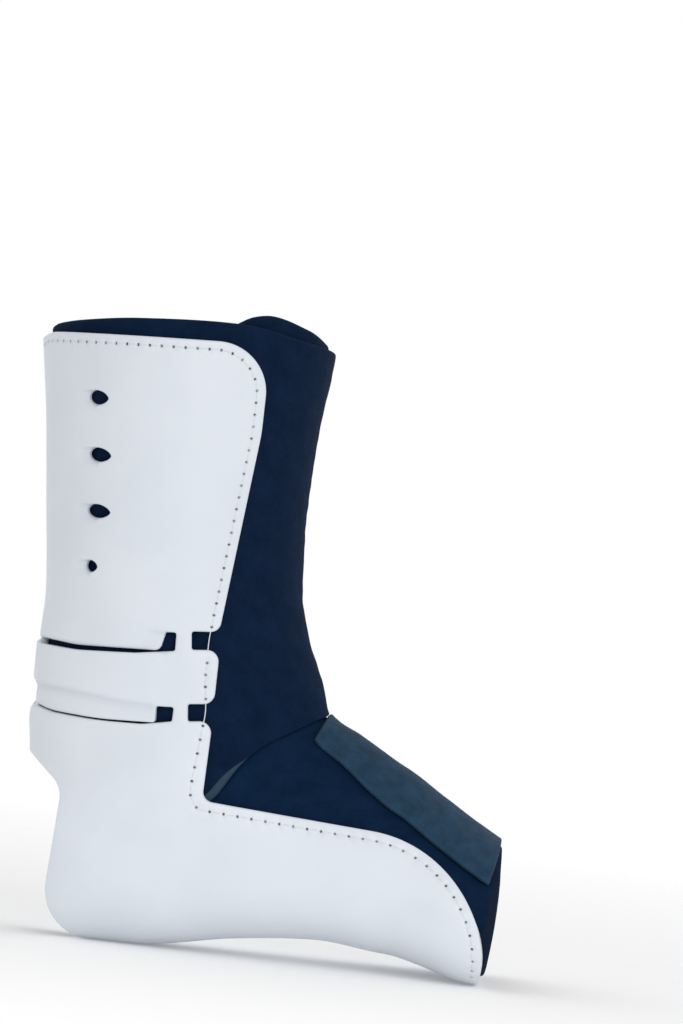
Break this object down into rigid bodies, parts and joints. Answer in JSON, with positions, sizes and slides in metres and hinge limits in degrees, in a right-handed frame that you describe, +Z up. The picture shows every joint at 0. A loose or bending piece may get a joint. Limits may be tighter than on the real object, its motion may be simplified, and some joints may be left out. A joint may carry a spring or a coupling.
{
  "type": "foot drop brace",
  "caption": "White moulded ankle and foot brace with a vented calf cuff, slotted ankle band and open heel, sewn over dark padded cloth wraps that close along the shin and the instep.",
  "frame": {"origin": "on the floor under the middle of the brace's box, with the brace standing on its sole", "axes": "+X points to the toes, +Y to the outer side of the left foot, +Z up the leg"},
  "size_m": [0.2, 0.1058, 0.2465],
  "materials": {
    "plastic": "satin moulded white",
    "leg_cloth": "dark navy brushed loop cloth over foam",
    "foot_cloth": "dark navy brushed loop cloth over foam",
    "tape": "slate blue woven hook tape"
  },
  "bodies": {
    "root": {"shell": "plastic", "leg_wrap": "leg_cloth", "foot_wrap": "foot_cloth", "instep_strap": "tape"}
  },
  "joints": []
}
